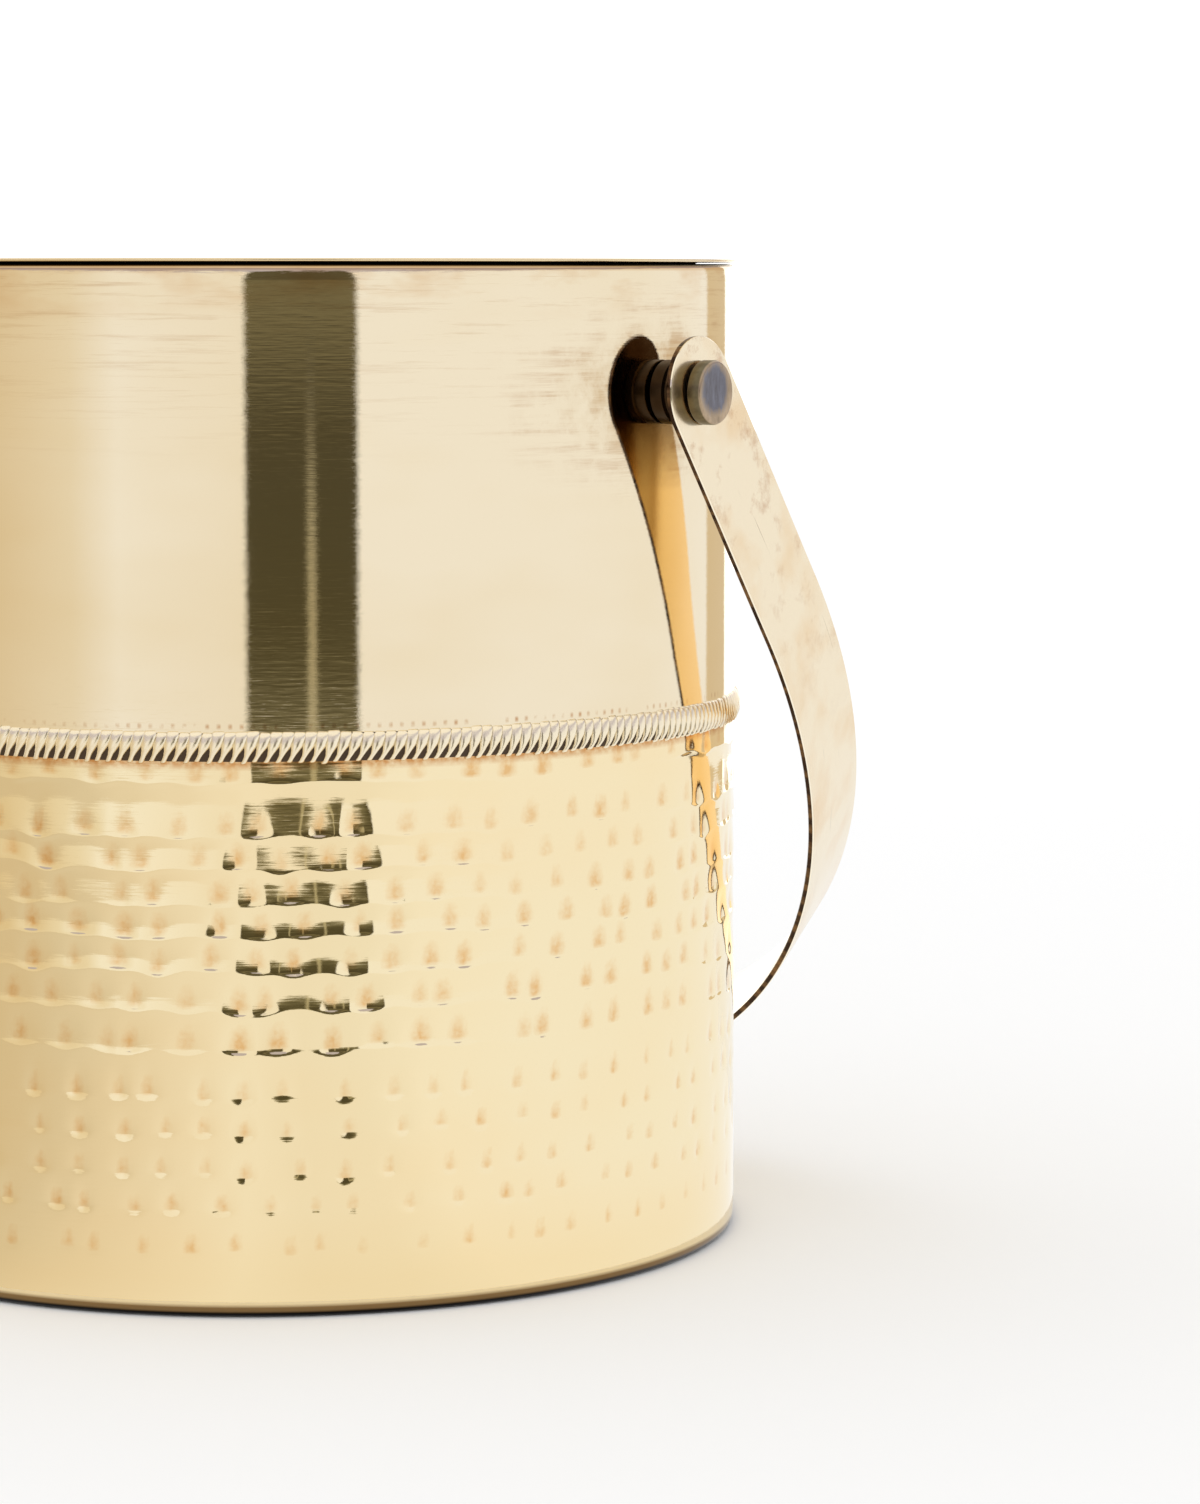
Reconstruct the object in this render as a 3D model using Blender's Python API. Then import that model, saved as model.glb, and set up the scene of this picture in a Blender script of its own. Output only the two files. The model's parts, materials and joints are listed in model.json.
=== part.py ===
"""Double-walled brass ice bucket with a swinging strap handle.

Metres, +Z up.  The origin is the middle of the flat base, on the table.  The handle's pivot
pins lie along X, and the handle hangs down over the +Y side, against the wall.
"""
import math

import bmesh
import bpy

MM = 0.001

# The bucket as a whole
BODY_RADIUS = 79.0 * MM
BODY_HEIGHT = 165.7 * MM
SEAT_GAP = 0.3 * MM              # between pieces that sit against each other

# Outer shell: a drawn tube, turned in at its foot and at its top
SHELL_SHEET = 0.8 * MM
FOOT_CORNER = 1.8 * MM
FOOT_RING_WIDTH = 8.0 * MM
TOP_CORNER = 1.3 * MM
TOP_LEDGE_WIDTH = 3.0 * MM

# Inner liner: a deep drawn cup, its flange lying over the shell's top
LINER_SHEET = 0.5 * MM
LINER_LIP_OVERHANG = 0.4 * MM
LINER_MOUTH_CORNER = 1.6 * MM
LINER_FLOOR_CORNER = 8.0 * MM
AIR_UNDER_LINER = 7.0 * MM

# Base plate: a disc on the shell's foot ring, its middle pressed down to the table
BASE_SHEET = 1.0 * MM
BASE_EDGE = 0.4 * MM

# Rope band: a soldered ring of twisted wire where the hammering starts
BAND_CENTRE_HEIGHT = 90.2 * MM
BAND_WIDTH = 5.0 * MM
BAND_PROTRUSION = 1.0 * MM

# Pivots: from inside the wall outwards come nut, washer, shell, spacer, strap and pin head
PIVOT_BELOW_RIM = 21.4 * MM
PIN_RADIUS = 2.5 * MM
PIN_HEAD_RADIUS = 5.2 * MM
PIN_HEAD_THICKNESS = 2.45 * MM
PIN_CHAMFER = 0.4 * MM
PIN_TAIL = 0.6 * MM
HOLE_CLEARANCE = 0.28 * MM
SPACER_RADIUS = 5.2 * MM
SPACER_LENGTH = 5.5 * MM
WASHER_RADIUS = 6.0 * MM
WASHER_THICKNESS = 1.0 * MM
NUT_ACROSS_FLATS = 8.0 * MM
NUT_THICKNESS = 3.2 * MM
AIR_BEHIND_PIN = 0.9 * MM

# Strap handle: flat arms that spread a little, joined by a deepened half-round bow
STRAP_WIDTH = 18.1 * MM
STRAP_THICKNESS = 1.0 * MM
ARM_SPREAD = math.radians(2.77)
BOW_DEEPENING = 1.16             # depth of the bow over its half width
WALL_CLEARANCE = 0.5 * MM        # from the hanging strap's edge to the wall
TABLE_CLEARANCE = 14.3 * MM      # from the hanging strap's edge to the table

# Smoothness of the round shapes
WALL_SEGMENTS = 72
BAND_SEGMENTS = 72
PIN_SEGMENTS = 32
CORNER_STEPS = 4
BOW_STEPS = 40
STRAP_END_STEPS = 8
BAND_STEPS = 6

# Sizes that follow from those above
PIVOT_HEIGHT = BODY_HEIGHT - PIVOT_BELOW_RIM
SHELL_TOP = BODY_HEIGHT - LINER_SHEET - SEAT_GAP
HOLE_RADIUS = PIN_RADIUS + HOLE_CLEARANCE
SHELL_INSIDE = BODY_RADIUS - SHELL_SHEET
WASHER_SEAT = math.sqrt(SHELL_INSIDE ** 2 - WASHER_RADIUS ** 2) - SEAT_GAP
NUT_SEAT = WASHER_SEAT - WASHER_THICKNESS - SEAT_GAP
PIN_END = NUT_SEAT - NUT_THICKNESS - PIN_TAIL
LINER_OUTSIDE = PIN_END - AIR_BEHIND_PIN
LINER_INSIDE = LINER_OUTSIDE - LINER_SHEET
SPACER_SEAT = BODY_RADIUS + SEAT_GAP
STRAP_INSIDE = SPACER_SEAT + SPACER_LENGTH + SEAT_GAP
STRAP_MIDDLE = STRAP_INSIDE + STRAP_THICKNESS / 2
HEAD_SEAT = STRAP_INSIDE + STRAP_THICKNESS + SEAT_GAP
PLATE_SEAT = SHELL_SHEET + SEAT_GAP
LINER_UNDERSIDE = PLATE_SEAT + BASE_SHEET + AIR_UNDER_LINER


def clear_scene():
    for thing in list(bpy.data.objects):
        bpy.data.objects.remove(thing, do_unlink=True)


def metal(name, colour, roughness):
    material = bpy.data.materials.new(name)
    material.use_nodes = True
    shader = material.node_tree.nodes["Principled BSDF"]
    shader.inputs["Base Color"].default_value = (*colour, 1.0)
    shader.inputs["Metallic"].default_value = 1.0
    shader.inputs["Roughness"].default_value = roughness
    material.diffuse_color = (*colour, 1.0)
    return material


def place(name, mesh_builder, material):
    """Turn a finished bmesh into a named object with its faces pointing out."""
    bmesh.ops.recalc_face_normals(mesh_builder, faces=mesh_builder.faces)
    mesh = bpy.data.meshes.new(name)
    mesh_builder.to_mesh(mesh)
    mesh_builder.free()
    mesh.materials.append(material)
    mesh.shade_smooth()
    mesh.set_sharp_from_angle(angle=math.radians(30))
    thing = bpy.data.objects.new(name, mesh)
    bpy.context.collection.objects.link(thing)
    return thing


def corner(centre_r, centre_z, radius, start_deg, end_deg):
    """Points of a rounded corner in a turned outline, as (radius, height)."""
    turn = math.radians(end_deg - start_deg) / CORNER_STEPS
    angles = [math.radians(start_deg) + step * turn for step in range(CORNER_STEPS + 1)]
    return [(centre_r + radius * math.cos(a), centre_z + radius * math.sin(a)) for a in angles]


def turned(name, outline, segments, material):
    """Spin an outline of (radius, height) about Z.

    An outline whose two ends lie on the axis makes a disc or cup; any other is closed to a ring.
    """
    builder = bmesh.new()
    corners = [builder.verts.new((radius, 0.0, height)) for radius, height in outline]
    edges = [builder.edges.new(pair) for pair in zip(corners, corners[1:])]
    if outline[0][0] > 0.0:
        edges.append(builder.edges.new((corners[-1], corners[0])))
    bmesh.ops.spin(builder, geom=corners + edges, axis=(0, 0, 1), cent=(0, 0, 0),
                   angle=2 * math.pi, steps=segments, use_merge=True)
    bmesh.ops.remove_doubles(builder, verts=builder.verts, dist=1e-6)
    return place(name, builder, material)


def drill(target, radius, length):
    """Cut a round hole along the pivot axis through everything the target has there."""
    builder = bmesh.new()
    bmesh.ops.create_cone(builder, cap_ends=True, segments=PIN_SEGMENTS,
                          radius1=radius, radius2=radius, depth=length)
    cutter = place("cutter_" + target.name, builder, target.data.materials[0])
    cutter.location = (0, 0, PIVOT_HEIGHT)
    cutter.rotation_euler = (0, math.pi / 2, 0)
    cutter.hide_render = True
    cutter.display_type = "WIRE"
    cut = target.modifiers.new("pivot holes", "BOOLEAN")
    cut.operation = "DIFFERENCE"
    cut.solver = "EXACT"
    cut.object = cutter


def make_outer_shell():
    outline = [(BODY_RADIUS - FOOT_RING_WIDTH, 0.0)]
    outline += corner(BODY_RADIUS - FOOT_CORNER, FOOT_CORNER, FOOT_CORNER, -90, 0)
    outline += corner(BODY_RADIUS - TOP_CORNER, SHELL_TOP - TOP_CORNER, TOP_CORNER, 0, 90)
    outline += [(BODY_RADIUS - TOP_LEDGE_WIDTH, SHELL_TOP),
                (BODY_RADIUS - TOP_LEDGE_WIDTH, SHELL_TOP - SHELL_SHEET)]
    outline += corner(BODY_RADIUS - TOP_CORNER, SHELL_TOP - TOP_CORNER,
                      TOP_CORNER - SHELL_SHEET, 90, 0)
    outline += corner(BODY_RADIUS - FOOT_CORNER, FOOT_CORNER, FOOT_CORNER - SHELL_SHEET, 0, -90)
    outline += [(BODY_RADIUS - FOOT_RING_WIDTH, SHELL_SHEET)]
    shell = turned("outer_shell", outline, WALL_SEGMENTS,
                   metal("brushed brass shell", (0.78, 0.63, 0.38), 0.25))
    drill(shell, HOLE_RADIUS, 3 * BODY_RADIUS)


def make_inner_liner():
    floor_outer = LINER_FLOOR_CORNER + LINER_SHEET
    flange_r = LINER_INSIDE + LINER_MOUTH_CORNER
    mouth_z = BODY_HEIGHT - LINER_MOUTH_CORNER
    lip_r = BODY_RADIUS + LINER_LIP_OVERHANG
    outline = [(0.0, LINER_UNDERSIDE)]
    outline += corner(LINER_OUTSIDE - floor_outer, LINER_UNDERSIDE + floor_outer,
                      floor_outer, -90, 0)
    outline += corner(flange_r, mouth_z, LINER_MOUTH_CORNER - LINER_SHEET, 180, 90)
    outline += [(lip_r, BODY_HEIGHT - LINER_SHEET), (lip_r, BODY_HEIGHT)]
    outline += corner(flange_r, mouth_z, LINER_MOUTH_CORNER, 90, 180)
    outline += corner(LINER_OUTSIDE - floor_outer, LINER_UNDERSIDE + floor_outer,
                      LINER_FLOOR_CORNER, 0, -90)
    outline += [(0.0, LINER_UNDERSIDE + LINER_SHEET)]
    turned("inner_liner", outline, WALL_SEGMENTS,
           metal("satin brass liner", (0.72, 0.58, 0.38), 0.35))


def make_base_plate():
    pressed_r = BODY_RADIUS - FOOT_RING_WIDTH - SEAT_GAP
    rim_r = BODY_RADIUS - FOOT_CORNER - SEAT_GAP
    plate_top = PLATE_SEAT + BASE_SHEET
    outline = [(0.0, 0.0), (pressed_r - BASE_EDGE, 0.0), (pressed_r, BASE_EDGE),
               (pressed_r, PLATE_SEAT), (rim_r, PLATE_SEAT), (rim_r, plate_top),
               (pressed_r - BASE_SHEET, plate_top), (pressed_r - BASE_SHEET, BASE_SHEET),
               (0.0, BASE_SHEET)]
    turned("base_plate", outline, WALL_SEGMENTS,
           metal("plain brass base", (0.62, 0.48, 0.28), 0.4))


def make_rope_band():
    """A shallow half-round ring: the outline is half an ellipse against the wall."""
    root = BODY_RADIUS + SEAT_GAP
    rise = BAND_PROTRUSION - SEAT_GAP
    angles = [math.radians(-90 + 180 * step / BAND_STEPS) for step in range(BAND_STEPS + 1)]
    outline = [(root + rise * math.cos(a), BAND_CENTRE_HEIGHT + BAND_WIDTH / 2 * math.sin(a))
               for a in angles]
    turned("rope_band", outline, BAND_SEGMENTS,
           metal("twisted wire band", (0.80, 0.68, 0.46), 0.3))


def hanging_bow():
    """Depth of the bow below the pivots, and its tilt from straight down.

    The strap's edge at the bottom of the bow leans on the wall, and clears the table.
    """
    tilt = 0.0
    half_width = STRAP_WIDTH / 2
    half_sheet = STRAP_THICKNESS / 2
    for _ in range(40):
        out = (BODY_RADIUS + WALL_CLEARANCE + half_width * math.cos(tilt)
               + half_sheet * math.sin(tilt))
        down = (PIVOT_HEIGHT - TABLE_CLEARANCE - half_width * math.sin(tilt)
                - half_sheet * math.cos(tilt))
        tilt = math.atan2(out, down)
    return math.hypot(out, down), tilt


def strap_centre_line(depth):
    """Centre line of the right half of the strap, from its top end to the foot of the bow.

    Each entry is (x, z, angle of the outward direction, half width), with the pivot at z = 0.
    """
    half_width = STRAP_WIDTH / 2
    reach = (math.sin(ARM_SPREAD) + BOW_DEEPENING) / math.cos(ARM_SPREAD)
    arm = ((depth - STRAP_MIDDLE * reach)
           / (math.cos(ARM_SPREAD) + math.sin(ARM_SPREAD) * reach))
    bow_half = (STRAP_MIDDLE + arm * math.sin(ARM_SPREAD)) / math.cos(ARM_SPREAD)
    bow_top = arm * math.cos(ARM_SPREAD) + bow_half * math.sin(ARM_SPREAD)
    line = []
    for step in range(STRAP_END_STEPS + 1):
        turn = math.pi / 2 * step / STRAP_END_STEPS
        along = -half_width * math.cos(turn)
        line.append((STRAP_MIDDLE + along * math.sin(ARM_SPREAD),
                     -along * math.cos(ARM_SPREAD), ARM_SPREAD, half_width * math.sin(turn)))
    for step in range(BOW_STEPS // 2 + 1):
        turn = -ARM_SPREAD + (math.pi / 2 + ARM_SPREAD) * step / (BOW_STEPS // 2)
        outward = math.atan2(math.sin(turn), BOW_DEEPENING * math.cos(turn))
        line.append((bow_half * math.cos(turn),
                     -bow_top - BOW_DEEPENING * bow_half * math.sin(turn),
                     -outward, half_width))
    return line


def make_bail_strap():
    depth, tilt = hanging_bow()
    right = strap_centre_line(depth)
    left = [(-x, z, math.pi - angle, half) for x, z, angle, half in reversed(right[:-1])]
    builder = bmesh.new()
    sections = []
    for x, z, angle, half in right + left:
        dx = STRAP_THICKNESS / 2 * math.cos(angle)
        dz = STRAP_THICKNESS / 2 * math.sin(angle)
        edges = (-half, half) if half > 1e-9 else (0.0,)
        outer = [builder.verts.new((x + dx, y, z + dz)) for y in edges]
        inner = [builder.verts.new((x - dx, y, z - dz)) for y in reversed(edges)]
        sections.append(outer + inner)
    for near, far in zip(sections, sections[1:]):
        if len(near) == len(far):
            for a in range(4):
                b = (a + 1) % 4
                builder.faces.new((near[a], near[b], far[b], far[a]))
        else:
            tip, full = (near, far) if len(near) == 2 else (far, near)
            builder.faces.new((tip[0], full[0], full[1]))
            builder.faces.new((tip[1], full[2], full[3]))
            builder.faces.new((tip[0], full[1], full[2], tip[1]))
            builder.faces.new((tip[1], full[3], full[0], tip[0]))
    strap = place("bail_strap", builder, metal("brushed brass strap", (0.80, 0.66, 0.44), 0.3))
    strap.location = (0, 0, PIVOT_HEIGHT)
    strap.rotation_euler = (tilt, 0, 0)
    drill(strap, HOLE_RADIUS, 3 * BODY_RADIUS)


def make_ring(name, side, hole_r, outer_r, inner_end, outer_end, material):
    """A plain tube on the pivot axis, between two distances from the bucket's axis."""
    outline = [(hole_r, inner_end), (outer_r, inner_end), (outer_r, outer_end),
               (hole_r, outer_end)]
    return on_pivot(turned(name, outline, PIN_SEGMENTS, material), side)


def on_pivot(thing, side):
    """Lay a piece modelled along +Z on the pivot axis, pointing out of the given side."""
    thing.location = (0, 0, PIVOT_HEIGHT)
    thing.rotation_euler = (0, side * math.pi / 2, 0)
    return thing


def make_pin(name, side):
    head_out = HEAD_SEAT + PIN_HEAD_THICKNESS
    outline = [(0.0, PIN_END), (PIN_RADIUS - PIN_CHAMFER, PIN_END),
               (PIN_RADIUS, PIN_END + PIN_CHAMFER), (PIN_RADIUS, HEAD_SEAT),
               (PIN_HEAD_RADIUS, HEAD_SEAT), (PIN_HEAD_RADIUS, head_out - PIN_CHAMFER),
               (PIN_HEAD_RADIUS - PIN_CHAMFER, head_out), (0.0, head_out)]
    pin = turned(name, outline, PIN_SEGMENTS, metal("aged brass pin", (0.36, 0.29, 0.20), 0.35))
    on_pivot(pin, side)


def make_nut(name, side):
    """A hexagon with a round hole, extruded along the pivot axis."""
    builder = bmesh.new()
    corner_r = NUT_ACROSS_FLATS / math.sqrt(3)
    hexagon = [math.radians(60 * i) for i in range(6)]
    circle = [2 * math.pi * i / PIN_SEGMENTS for i in range(PIN_SEGMENTS)]
    low = NUT_SEAT - NUT_THICKNESS
    rim = [builder.verts.new((corner_r * math.cos(a), corner_r * math.sin(a), low))
           for a in hexagon]
    hole = [builder.verts.new((HOLE_RADIUS * math.cos(a), HOLE_RADIUS * math.sin(a), low))
            for a in circle]
    edges = [builder.edges.new((loop[i - 1], loop[i]))
             for loop in (rim, hole) for i in range(len(loop))]
    bmesh.ops.triangle_fill(builder, edges=edges, use_beauty=True)
    sheet = list(builder.faces)
    grown = bmesh.ops.extrude_face_region(builder, geom=sheet, use_keep_orig=True)
    raised = [item for item in grown["geom"] if isinstance(item, bmesh.types.BMVert)]
    bmesh.ops.translate(builder, verts=raised, vec=(0, 0, NUT_THICKNESS))
    on_pivot(place(name, builder, metal("brass nut", (0.60, 0.47, 0.28), 0.4)), side)


def make_pivots():
    for label, side in (("right", 1), ("left", -1)):
        make_pin("pivot_pin_" + label, side)
        make_ring("pivot_spacer_" + label, side, HOLE_RADIUS, SPACER_RADIUS, SPACER_SEAT,
                  SPACER_SEAT + SPACER_LENGTH, metal("aged brass spacer", (0.32, 0.25, 0.17), 0.4))
        make_ring("backing_washer_" + label, side, HOLE_RADIUS, WASHER_RADIUS,
                  WASHER_SEAT - WASHER_THICKNESS, WASHER_SEAT,
                  metal("brass washer", (0.60, 0.47, 0.28), 0.4))
        make_nut("pivot_nut_" + label, side)


clear_scene()
make_outer_shell()
make_inner_liner()
make_base_plate()
make_rope_band()
make_bail_strap()
make_pivots()
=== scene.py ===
import json
import math
import random

import bmesh
import bpy
import numpy as np
from mathutils import Matrix, Vector


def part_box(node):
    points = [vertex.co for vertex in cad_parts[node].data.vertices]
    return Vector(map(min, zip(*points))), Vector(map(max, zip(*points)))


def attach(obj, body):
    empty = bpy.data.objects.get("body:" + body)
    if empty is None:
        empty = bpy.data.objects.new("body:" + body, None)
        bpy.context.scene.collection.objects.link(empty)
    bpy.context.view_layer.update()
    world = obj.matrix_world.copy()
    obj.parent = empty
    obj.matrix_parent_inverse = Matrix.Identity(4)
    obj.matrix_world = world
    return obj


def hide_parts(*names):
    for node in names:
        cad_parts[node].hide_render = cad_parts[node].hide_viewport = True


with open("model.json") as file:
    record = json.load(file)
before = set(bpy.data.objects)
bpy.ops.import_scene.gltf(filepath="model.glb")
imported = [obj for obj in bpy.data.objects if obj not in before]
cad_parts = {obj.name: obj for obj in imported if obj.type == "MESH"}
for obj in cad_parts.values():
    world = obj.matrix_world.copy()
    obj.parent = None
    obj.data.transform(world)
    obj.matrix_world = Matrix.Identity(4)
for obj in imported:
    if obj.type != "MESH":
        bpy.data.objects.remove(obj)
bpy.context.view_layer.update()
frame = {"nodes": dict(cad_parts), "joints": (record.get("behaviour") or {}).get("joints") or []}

MM = 0.001
shell_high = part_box("outer_shell")[1]
wall_radius = shell_high.x
bucket_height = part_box("inner_liner")[1].z


# ---- The camera ----
# It stands about five bucket widths away, a little below the rim, and looks a little past the
# bucket's right side, so that the left of the bucket is cut by the frame.
def in_scene(name, data):
    """An object for a mesh, a light or the camera, put in the scene."""
    thing = bpy.data.objects.new(name, data)
    bpy.context.scene.collection.objects.link(thing)
    return thing


camera_distance = 9.888 * wall_radius
camera_height = 2.065 * wall_radius
camera_azimuth = math.radians(-53.0)      # from the pivot axis, X, towards the front
camera_aside = math.radians(4.10)         # how far it looks to the right of the bucket
camera_down = math.radians(6.0)

camera_data = bpy.data.cameras.new("camera")
camera_data.lens = 108.7
camera_data.sensor_width = 36.0
camera_data.clip_end = 50.0
camera = in_scene("camera", camera_data)
camera.location = (camera_distance * math.cos(camera_azimuth),
                   camera_distance * math.sin(camera_azimuth), camera_height)
look_azimuth = camera_azimuth + math.pi - camera_aside
look = Vector((math.cos(look_azimuth) * math.cos(camera_down),
               math.sin(look_azimuth) * math.cos(camera_down), -math.sin(camera_down)))
camera.rotation_euler = look.to_track_quat("-Z", "Y").to_euler()
bpy.context.scene.camera = camera
bpy.context.scene.view_settings.view_transform = "Standard"


# ---- The table and the studio light ----
# A pale seamless table, a ring of white cloths with a dark gap between them where the camera
# stands, and an overhead light.  The bucket mirrors the cloths, which aren't seen directly.
def linear(hex_colour, alpha=1.0):
    """An sRGB hex colour as linear RGBA."""
    parts = [int(hex_colour[i:i + 2], 16) / 255 for i in (0, 2, 4)]
    flat = [p / 12.92 if p <= 0.04045 else ((p + 0.055) / 1.055) ** 2.4 for p in parts]
    return (*flat, alpha)


def feed(tree, node, feeds):
    """Fill a node's inputs with values, with links from outputs, or from nodes' first outputs."""
    for key, value in feeds.items():
        if isinstance(value, bpy.types.Node):
            value = value.outputs[0]
        if isinstance(value, bpy.types.NodeSocket):
            tree.links.new(value, node.inputs[key])
        else:
            node.inputs[key].default_value = value
    return node


def add(tree, kind, feeds=None, **settings):
    """Add one node. Settings are its properties; feeds go into its inputs."""
    made = tree.nodes.new(kind)
    for name, value in settings.items():
        setattr(made, name, value)
    return feed(tree, made, feeds or {})


def colour_stops(ramp_node, stops):
    """Fill a colour ramp from (position, hex colour) pairs."""
    ramp = ramp_node.color_ramp
    while len(ramp.elements) > 1:
        ramp.elements.remove(ramp.elements[-1])
    ramp.elements[0].position, ramp.elements[0].color = stops[0][0], linear(stops[0][1])
    for position, hex_colour in stops[1:]:
        ramp.elements.new(position).color = linear(hex_colour)
    return ramp_node


def studio_world():
    """An even white room: brightest round the horizon, a little dimmer overhead."""
    world = bpy.data.worlds.new("studio")
    bpy.context.scene.world = world
    world.use_nodes = True
    tree = world.node_tree
    tree.nodes.clear()
    direction = add(tree, "ShaderNodeTexCoord")
    axes = add(tree, "ShaderNodeSeparateXYZ", {0: direction.outputs["Generated"]})
    ramp = add(tree, "ShaderNodeValToRGB", {0: axes.outputs["Z"]})
    colour_stops(ramp, [(0.0, "FFFFFF"), (0.18, "FFFFFF"), (0.30, "E2E2E2"), (1.0, "E2E2E2")])
    light = add(tree, "ShaderNodeBackground", {"Color": ramp.outputs["Color"], "Strength": 1.3})
    add(tree, "ShaderNodeOutputWorld", {"Surface": light})


def glow(name, stops, strength=1.0, by_angle=False, low=0.0, high=1.0):
    """An emitting surface whose colour runs through the stops from one height to another, or
    round Z from one angle, in degrees, to another, counted from the camera's side."""
    material = bpy.data.materials.new(name)
    material.use_nodes = True
    tree = material.node_tree
    tree.nodes.clear()
    place = add(tree, "ShaderNodeTexCoord").outputs["Object"]
    along = add(tree, "ShaderNodeSeparateXYZ", {0: place}).outputs["Z"]
    if by_angle:
        x, y = math.cos(camera_azimuth), math.sin(camera_azimuth)
        ahead = add(tree, "ShaderNodeVectorMath", {0: place, 1: (x, y, 0)},
                    operation="DOT_PRODUCT").outputs["Value"]
        aside = add(tree, "ShaderNodeVectorMath", {0: place, 1: (-y, x, 0)},
                    operation="DOT_PRODUCT").outputs["Value"]
        along = add(tree, "ShaderNodeMath", {0: aside, 1: ahead}, operation="ARCTAN2")
        low, high = math.radians(low), math.radians(high)
    share = add(tree, "ShaderNodeMapRange", {"Value": along, "From Min": low, "From Max": high})
    ramp = colour_stops(add(tree, "ShaderNodeValToRGB", {0: share}), stops)
    light = add(tree, "ShaderNodeEmission", {"Color": ramp, "Strength": strength})
    add(tree, "ShaderNodeOutputMaterial", {"Surface": light})
    return material


def panel(name, start_deg, end_deg, rows, material):
    """A curved panel round the bucket, seen only in its reflections. Angles are counted from
    the camera's side, towards the camera's right; each row is a height, a distance from the
    axis, and the degrees by which its two ends are drawn in."""
    steps = max(2, int(abs(end_deg - start_deg) / 4))
    across = steps + 1
    corners, faces = [], []
    for height, distance, inset in rows:
        for i in range(across):
            degrees = start_deg + inset + (end_deg - start_deg - 2 * inset) * i / steps
            angle = camera_azimuth + math.radians(degrees)
            corners.append((distance * math.cos(angle), distance * math.sin(angle), height))
    for j in range(len(rows) - 1):
        for i in range(j * across, j * across + steps):
            faces.append((i, i + across, i + across + 1, i + 1))
    mesh = bpy.data.meshes.new(name)
    mesh.from_pydata(corners, [], faces)
    mesh.materials.append(material)
    thing = in_scene(name, mesh)
    thing.visible_camera = False
    thing.visible_shadow = False
    thing.visible_diffuse = False


studio_world()
table_mesh = bpy.data.meshes.new("table")
builder = bmesh.new()
bmesh.ops.create_circle(builder, cap_ends=True, segments=96, radius=4.0)
builder.to_mesh(table_mesh)
builder.free()
table = in_scene("table", table_mesh)
# Matt paint, with a faint glow that keeps the far table as white as the room
table_paint = bpy.data.materials.new("matt white table")
table_paint.use_nodes = True
tree = table_paint.node_tree
far = add(tree, "ShaderNodeVectorMath", {0: add(tree, "ShaderNodeTexCoord").outputs["Object"]},
          operation="LENGTH")
fade = add(tree, "ShaderNodeMapRange", {"Value": far.outputs["Value"], "From Min": 0.30,
                                        "From Max": 1.20, "To Min": 0.02, "To Max": 0.05},
           interpolation_type="SMOOTHSTEP")
feed(tree, tree.nodes["Principled BSDF"],
     {"Emission Strength": fade, "Emission Color": linear("FFFFFF"),
      "Base Color": linear("FAFAFA"), "Roughness": 0.9, "Specular IOR Level": 0.0})
table_mesh.materials.append(table_paint)

cloth_distance = 0.76                     # from the bucket's axis
gap_distance = 0.72
slit_distance = 0.71
cloth_top = 0.31
gap_start, gap_end = -6.4, 18.6           # the gap between the cloths, in degrees
cloth_start, cloth_end = -100, 128.5
corner_end, backdrop_end = 144, 215
cloth_rows = [(0.0, cloth_distance, 0), (cloth_top, cloth_distance, 0)]
floor_rows = [(0.002, 0.081, 0), (0.003, cloth_distance, 0)]
gap_rows = [(height, gap_distance, inset) for height, inset in
            ((0.0, 0), (0.20, 0), (0.25, 0.3), (0.285, 0.8), (0.30, 1.5), (0.312, 2.8))]
slit_top = 0.14
shade_top = (0.46, 0.70, 0)

left_cloth = glow("white cloth lit from one end",
                  [(0.0, "E6D6B8"), (0.20, "EDE1CA"), (0.38, "F3EBDA"), (0.55, "FFFFFF"),
                   (1.0, "FAF6EE")], by_angle=True, low=-72, high=-6)
floor_cloth = glow("cloth lying on the table",
                   [(0.0, "DED0B8"), (0.12, "E3D9C7"), (0.24, "EFE6D7"), (0.37, "F8F2E8"),
                    (0.45, "FCF9F3"), (0.54, "F9F5ED"), (0.65, "FAF7F0"), (0.76, "FFFDF9"),
                    (1.0, "FFFFFF")], by_angle=True, low=-60, high=60)
dark_room = glow("dark room behind the camera",
                 [(0.0, "A29A7C"), (0.10, "7E785E"), (0.24, "565038"), (0.60, "504A36"),
                  (0.78, "7A7256"), (0.90, "787054"), (1.0, "605A44")], low=0.0, high=0.20)
slit = glow("slit of light", [(0.0, "BEB698"), (0.6, "A8A084"), (0.85, "6A6450"),
                              (1.0, "504A36")], low=0.0, high=slit_top)
panel("left_panel", cloth_start, gap_start, cloth_rows, left_cloth)
panel("floor_cloth", cloth_start, cloth_end, floor_rows, floor_cloth)
panel("right_panel", gap_end, cloth_end, cloth_rows, glow("white cloth", [(0.0, "FFFFFF")]))
panel("dim_corner", cloth_end, corner_end, cloth_rows, glow("tan wall", [(0.0, "E0CEAF")]))
panel("bright_back", corner_end, backdrop_end, cloth_rows,
      glow("bright backdrop", [(0.0, "FFFFFF")], 1.7))
panel("shade", cloth_start, corner_end, [(cloth_top, cloth_distance, 0), shade_top],
      glow("lilac shade above the cloths", [(0.0, "C6C1D2")]))
panel("dark_gap", gap_start, gap_end, gap_rows, dark_room)
panel("bright_slit", 7.3, 9.2, [(0.0, slit_distance, 0), (slit_top, slit_distance, 0)], slit)
panel("sky_band", -180, 180, [(0.46, 0.68, 0), (0.80, 0.20, 0)],
      glow("pale ceiling", [(0.0, "F4F0E8")], 1.15))

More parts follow.
